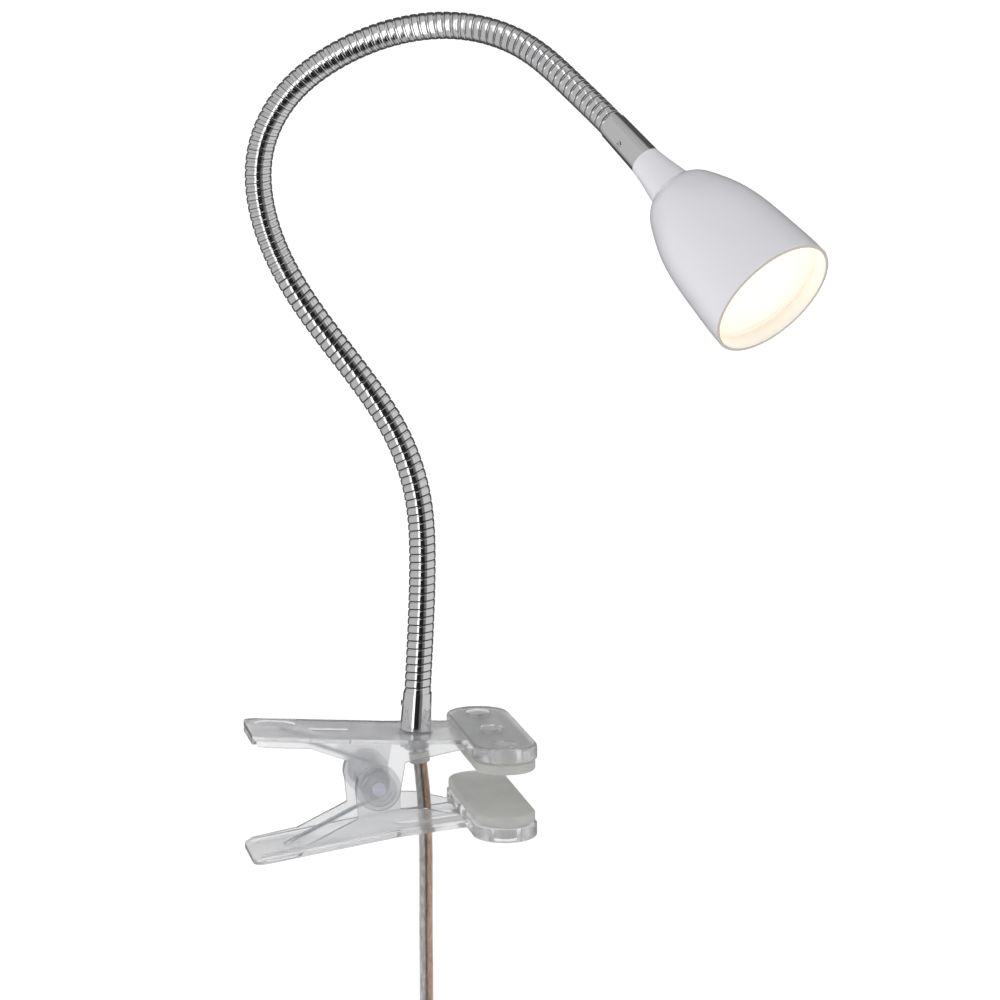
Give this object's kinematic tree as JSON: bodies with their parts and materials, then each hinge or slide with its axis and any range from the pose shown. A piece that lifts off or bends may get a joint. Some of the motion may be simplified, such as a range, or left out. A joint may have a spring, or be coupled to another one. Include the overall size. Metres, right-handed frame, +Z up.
{
  "type": "clip-on reading lamp",
  "caption": "Clip-on reading lamp: a spring clamp with soft pads, a bendable metal neck and a bell shade with a flat opal diffuser, on a corded plug with an in-line switch.",
  "frame": {"origin": "centre of the upper jaw's pad, where it rests on the top of the board", "axes": "+Z up from the board, +X from the handles to the pads, -Y towards the side that the shade faces"},
  "size_m": [0.2208, 0.1956, 0.6395],
  "materials": {
    "jaw_plastic": "clear frosted",
    "pad_rubber": "translucent matte",
    "chrome": "bright",
    "steel": "satin",
    "shade_gloss": "gloss",
    "diffuser_lit": "opal",
    "ring_plastic": "satin",
    "circuit": "satin",
    "led": "satin",
    "aluminium": "satin",
    "component": "satin",
    "lead_sleeve": "satin",
    "cord_clear": "clear sheath over bare strands",
    "tie": "matte",
    "switch_plastic": "satin",
    "rocker_plastic": "gloss",
    "plug_plastic": "satin",
    "plug_brass": "nickel plated"
  },
  "bodies": {
    "upper_jaw": {"upper_jaw": "jaw_plastic", "upper_pad": "pad_rubber", "pivot_pin": "jaw_plastic", "pivot_cap_front": "jaw_plastic", "pivot_cap_back": "jaw_plastic", "torsion_spring": "steel", "lower_ferrule": "chrome", "lower_set_screw": "steel", "clamp_washer": "steel", "clamp_nut": "steel", "cord_bush": "pad_rubber", "neck_1": "chrome", "neck_lead_1": "lead_sleeve", "power_cord": "cord_clear", "cord_coil": "cord_clear", "cord_tail": "cord_clear", "coil_tie": "tie", "switch_front": "switch_plastic", "switch_back": "switch_plastic", "switch_screws": "steel", "plug_body": "plug_plastic", "plug_pins": "plug_brass"},
    "lower_jaw": {"lower_jaw": "jaw_plastic", "lower_pad": "pad_rubber"},
    "neck_2": {"neck_2": "chrome", "neck_lead_2": "lead_sleeve"},
    "neck_3": {"neck_3": "chrome", "neck_lead_3": "lead_sleeve"},
    "neck_4": {"neck_4": "chrome", "neck_lead_4": "lead_sleeve"},
    "neck_5": {"neck_5": "chrome", "neck_lead_5": "lead_sleeve"},
    "neck_6": {"neck_6": "chrome", "neck_lead_6": "lead_sleeve"},
    "neck_7": {"neck_7": "chrome", "neck_lead_7": "lead_sleeve"},
    "neck_8": {"neck_8": "chrome", "neck_lead_8": "lead_sleeve", "upper_ferrule": "chrome", "upper_set_screw": "steel", "head_stem": "shade_gloss", "stem_nut": "steel", "shade": "shade_gloss", "diffuser": "diffuser_lit", "diffuser_ring": "ring_plastic", "reflector": "shade_gloss", "led_board": "circuit", "led_chips": "led", "heat_sink": "aluminium", "board_screws": "steel", "driver_board": "circuit", "driver_parts": "component", "lamp_leads": "lead_sleeve"},
    "rocker": {"switch_rocker": "rocker_plastic"}
  },
  "joints": [
    {"name": "clamp_pivot", "type": "hinge", "parent": "upper_jaw", "child": "lower_jaw", "pos_m": [-0.053, 0, -0.009], "axis": [0, 1, 0], "range_deg": [-15, 30], "stiffness_Nm_per_rad": 0.04, "deforming": ["torsion_spring"]},
    {"name": "neck_bend_1", "type": "hinge", "parent": "upper_jaw", "child": "neck_2", "pos_m": [-0.0302, 0.0002, 0.085], "axis": [0, 1, 0], "range_deg": [-30, 30]},
    {"name": "neck_bend_2", "type": "hinge", "parent": "neck_2", "child": "neck_3", "pos_m": [-0.0393, 0.0047, 0.139], "axis": [0.819, -0.3495, 0.4551], "range_deg": [-30, 30]},
    {"name": "neck_bend_3", "type": "hinge", "parent": "neck_3", "child": "neck_4", "pos_m": [-0.0693, 0.0157, 0.185], "axis": [0.3009, 0.9537, 0], "range_deg": [-30, 30]},
    {"name": "neck_bend_4", "type": "hinge", "parent": "neck_4", "child": "neck_5", "pos_m": [-0.095, 0.0215, 0.2355], "axis": [0.9605, -0.0502, 0.2739], "range_deg": [-30, 30]},
    {"name": "neck_bend_5", "type": "hinge", "parent": "neck_5", "child": "neck_6", "pos_m": [-0.0855, 0.0162, 0.286], "axis": [0.2926, 0.9562, 0], "range_deg": [-30, 30]},
    {"name": "neck_bend_6", "type": "hinge", "parent": "neck_6", "child": "neck_7", "pos_m": [-0.0393, 0.0005, 0.3142], "axis": [-0.2211, 0.0814, 0.9719], "range_deg": [-30, 30]},
    {"name": "neck_bend_7", "type": "hinge", "parent": "neck_7", "child": "neck_8", "pos_m": [0.0098, -0.0248, 0.3083], "axis": [-0.6138, -0.7895, 0], "range_deg": [-30, 30]},
    {"name": "switch_rock", "type": "hinge", "parent": "upper_jaw", "child": "rocker", "pos_m": [-0.02905, -0.0079, -0.15], "axis": [1, 0, 0], "range_deg": [-16, 0]}
  ]
}
